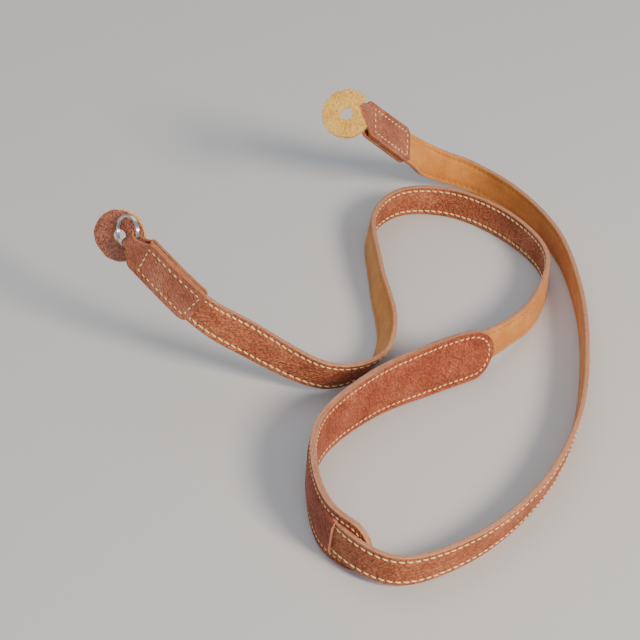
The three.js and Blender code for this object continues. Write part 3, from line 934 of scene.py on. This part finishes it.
def makeRing(side):
    shape = ringShape
    radius = (shape["outer"] - shape["wireWide"]) / 2
    ring = startPiece(
        f"split_ring_{side}", bpy.ops.mesh.primitive_circle_add, vertices=shape["sides"], radius=0.5,
        fill_type="NOTHING", location=(radius, 0, 0), rotation=(math.pi / 2, 0, 0),
        scale=(shape["wireWide"], shape["wireHigh"], 1),
    )
    wind = ring.modifiers.new("wind", "SCREW")
    wind.axis = "Z"
    wind.angle = 4 * math.pi
    wind.screw_offset = 2 * shape["pitch"]
    wind.steps = shape["steps"]
    wind.render_steps = shape["steps"]
    wind.use_normal_calculate = True
    applyAll(ring)
    bpy.ops.object.mode_set(mode="EDIT")
    bpy.ops.mesh.select_mode(type="EDGE")
    bpy.ops.mesh.select_all(action="DESELECT")
    bpy.ops.mesh.select_non_manifold()
    bpy.ops.mesh.edge_face_add()
    bpy.ops.mesh.select_all(action="SELECT")
    bpy.ops.mesh.normals_make_consistent(inside=False)
    bpy.ops.object.mode_set(mode="OBJECT")
    middle, toRing, normal = ringFrame(side)
    ring.data.transform(Matrix.Translation((0, 0, -shape["pitch"])))
    ring.data.transform(Matrix.Rotation(math.radians(shape["cutTurn"]), 4, "Z"))
    ring.data.transform(placeMatrix(middle, toRing, normal))
    ring.data.materials.append(ringSteel)
    smoothPiece(ring, 50)
    dressPiece(ring, "ring_steel", f"ring_{side}")


# The guards: leather discs with a round hole and a notch for the tab's neck, cut by hand.
guardShape = {
    "diameter": 0.022, "thickness": 0.0018, "hole": 0.0055, "notchInset": 0.0046, "notchSkew": 16,
    "notchSpread": 32, "notchHalf": 0.00405, "spokes": 96, "rings": 7,
    "wobbles": [(0.02, 2, 1.1), (0.012, 5, 0.4), (0.005, 11, 2)],
    "warps": [(0.00035, 2, 0.6), (0.00015, 3, 2)],
}
guardPlaces = {
    "left": {"offset": (0.0006, 0.0054, -0.0057), "turn": -151, "raise": 25, "notchTurn": -42},
    "right": {"offset": (-0.00908, -0.00154, 0.00208), "turn": 26, "raise": -42, "notchTurn": 8},
}


# How far the guard's rim lies from its middle at an angle from the notch's way.
def guardReach(angle):
    shape = guardShape
    radius = shape["diameter"] / 2
    skew, spread = math.radians(shape["notchSkew"]), math.radians(shape["notchSpread"])
    away = (angle - skew + math.pi) % (2 * math.pi) - math.pi
    floor = radius - shape["notchInset"]
    if abs(away) >= spread:
        return radius
    direction = Vector((math.cos(angle), math.sin(angle)))
    line = [
        Vector((radius * math.cos(skew - spread), radius * math.sin(skew - spread))),
        Vector((floor, -shape["notchHalf"])), Vector((floor, shape["notchHalf"])),
        Vector((radius * math.cos(skew + spread), radius * math.sin(skew + spread))),
    ]
    for a, b in zip(line, line[1:]):
        along = b - a
        cross = direction.x * along.y - direction.y * along.x
        if abs(cross) < 1e-9:
            continue
        reach = (a.x * along.y - a.y * along.x) / cross
        share = (a.x * direction.y - a.y * direction.x) / cross
        if reach > 0 and -1e-6 <= share <= 1 + 1e-6:
            return reach
    return radius


# Loose fibres that stand out of the cut rim on the flesh side, made as thin spikes in code
# because they are far finer than the disc that they grow from.
fuzzShape = {
    "count": 480, "thickness": 0.00009, "shortest": 0.0005, "longest": 0.0019, "sink": 0.0001,
    "heights": (-0.0009, 0.0002), "sway": 0.9, "climb": (-0.6, 0.3), "seeds": {"left": 7, "right": 8},
}


def makeFuzz(side, turned):
    shape = fuzzShape
    chance = random.Random(shape["seeds"][side])
    points, faces = [], []
    for _ in range(shape["count"]):
        angle = chance.uniform(0, 2 * math.pi)
        reach = guardReach(angle) - shape["sink"]
        root = Vector((reach * math.cos(angle), reach * math.sin(angle), chance.uniform(*shape["heights"])))
        lean = angle + chance.uniform(-shape["sway"], shape["sway"])
        way = Vector((math.cos(lean), math.sin(lean), chance.uniform(*shape["climb"]))).normalized()
        wide = way.orthogonal().normalized() * shape["thickness"]
        high = way.cross(wide)
        length = mix(shape["shortest"], shape["longest"], chance.random() ** 2)
        first = len(points)
        points += [root + wide, root - wide / 2 + high, root - wide / 2 - high, root + way * length]
        faces += [(first, first + 1, first + 3), (first + 1, first + 2, first + 3),
                  (first + 2, first, first + 3), (first, first + 2, first + 1)]
    data = bpy.data.meshes.new(f"guard_fibres_{side}")
    data.from_pydata(points, [], faces)
    fibres = bpy.data.objects.new(data.name, data)
    bpy.context.scene.collection.objects.link(fibres)
    data.materials.append(suedeLeather)
    keepFlat(fibres)
    data.transform(turned)
    dressPiece(fibres, "suede_guard")


# Waves round the disc, each with its depth, its count and its shift.
def sumWaves(waves, angle):
    return sum(depth * math.sin(count * angle + shift) for depth, count, shift in waves)


def makeGuard(side):
    shape = guardShape
    place = guardPlaces[side]
    holeRadius = shape["hole"] / 2
    disc = startPiece(
        f"guard_leather_{side}", bpy.ops.mesh.primitive_circle_add, vertices=shape["spokes"],
        radius=holeRadius, fill_type="NOTHING",
    )
    bpy.ops.object.mode_set(mode="EDIT")
    bpy.ops.mesh.select_all(action="SELECT")
    reachNow = holeRadius
    for ring in range(1, shape["rings"] + 1):
        reachNext = mix(holeRadius, shape["diameter"] / 2, ring / shape["rings"])
        bpy.ops.mesh.extrude_edges_move()
        growth = reachNext / reachNow
        bpy.ops.transform.resize(value=(growth, growth, 1), center_override=(0, 0, 0))
        reachNow = reachNext
    work = bmesh.from_edit_mesh(disc.data)
    for vert in work.verts:
        angle = math.atan2(vert.co.y, vert.co.x)
        share = (vert.co.xy.length - holeRadius) / (shape["diameter"] / 2 - holeRadius)
        reach = mix(holeRadius, guardReach(angle) * (1 + sumWaves(shape["wobbles"], angle)), share)
        warp = share * sumWaves(shape["warps"], angle)
        vert.co = (reach * math.cos(angle), reach * math.sin(angle), warp)
    bmesh.update_edit_mesh(disc.data)
    bpy.ops.mesh.select_all(action="SELECT")
    bpy.ops.mesh.normals_make_consistent(inside=False)
    bpy.ops.object.mode_set(mode="OBJECT")
    if disc.data.polygons[0].normal.z < 0:
        disc.data.flip_normals()
    thickenLeaf(disc, shape["thickness"], False)
    layLeather(disc, guardLeather, suedeLeather, suedeLeather, split=0.6)
    keepFlat(disc)
    middle = ringFrame(side)[0] + Vector(place["offset"])
    turn, lift = math.radians(place["turn"]), math.radians(place["raise"])
    outward = Vector((math.cos(lift) * math.cos(turn), math.cos(lift) * math.sin(turn), math.sin(lift)))
    toFold = endFrame(side == "right")[0] - middle
    notchWay = (toFold - outward * toFold.dot(outward)).normalized()
    notchWay = Matrix.Rotation(math.radians(place["notchTurn"]), 3, outward) @ notchWay
    makeFuzz(side, placeMatrix(middle, notchWay, outward))
    disc.data.transform(placeMatrix(middle, notchWay, outward))
    smoothPiece(disc, 50)
    dressPiece(disc, "suede_guard", f"ring_guard_{side}")


for endSide in ("left", "right"):
    makeTab(endSide)
    makeTabStitches(endSide)
    makeRing(endSide)
    makeGuard(endSide)
bpy.data.objects.remove(routeGuide)
print("stage: tabs, rings and guards")


# Floor, light and camera.
stageLook = {"floorAt": (0.09, -0.09, -0.0652), "floorSize": 6.0, "floor": "#c9c8c6"}


def makeStage():
    bpy.ops.object.select_all(action="DESELECT")
    bpy.ops.mesh.primitive_plane_add(size=stageLook["floorSize"], location=stageLook["floorAt"])
    floor = bpy.context.object
    floor.name = "studio_floor"
    material, _, shader = newMaterial("pale_floor")
    shader.inputs["Base Color"].default_value = hexColour(stageLook["floor"])
    shader.inputs["Roughness"].default_value = 0.8
    floor.data.materials.append(material)


def addLight(name, place, target, size, power, colour):
    bpy.ops.object.light_add(type="AREA", location=place)
    light = bpy.context.object
    light.name = name
    light.data.shape = "DISK"
    light.data.size = size
    light.data.energy = power
    light.data.color = hexColour(colour)[:3]
    light.rotation_euler = (Vector(target) - Vector(place)).to_track_quat("-Z", "Y").to_euler()


def makeLights():
    middle = (0.09, -0.09, -0.05)
    addLight("key_softbox", (0.1, -1.3, 0.8), middle, 0.45, 27, "#fff0dd")
    addLight("fill_softbox", (-0.7, -0.9, 1.0), middle, 1.0, 4, "#f2f4ff")
    addLight("top_softbox", (0.3, 0.5, 1.3), middle, 1.2, 5, "#ffffff")
    world = bpy.data.worlds.new("studio")
    bpy.context.scene.world = world
    world.use_nodes = True
    world.node_tree.nodes["Background"].inputs[0].default_value = hexColour("#dfe8f5")
    world.node_tree.nodes["Background"].inputs[1].default_value = 0.5


cameraView = {
    "place": (-0.440178, -0.529776, 0.509149), "azimuth": 46.71, "elevation": 38.87, "roll": 1.58,
    "lens": 115.04,
}


def makeCamera():
    data = bpy.data.cameras.new("photo_view")
    camera = bpy.data.objects.new("photo_view", data)
    bpy.context.scene.collection.objects.link(camera)
    bpy.context.scene.camera = camera
    data.sensor_width = 36
    data.lens = cameraView["lens"]
    data.clip_start = 0.01
    data.clip_end = 50
    azimuth, elevation = math.radians(cameraView["azimuth"]), math.radians(cameraView["elevation"])
    look = Vector((
        math.sin(azimuth) * math.cos(elevation), math.cos(azimuth) * math.cos(elevation),
        -math.sin(elevation),
    ))
    turned = look.to_track_quat("-Z", "Y").to_matrix().to_4x4()
    rolled = Matrix.Rotation(math.radians(cameraView["roll"]), 4, "Z")
    camera.matrix_world = Matrix.Translation(cameraView["place"]) @ turned @ rolled


makeStage()
makeLights()
makeCamera()
print("stage: floor, light and camera")
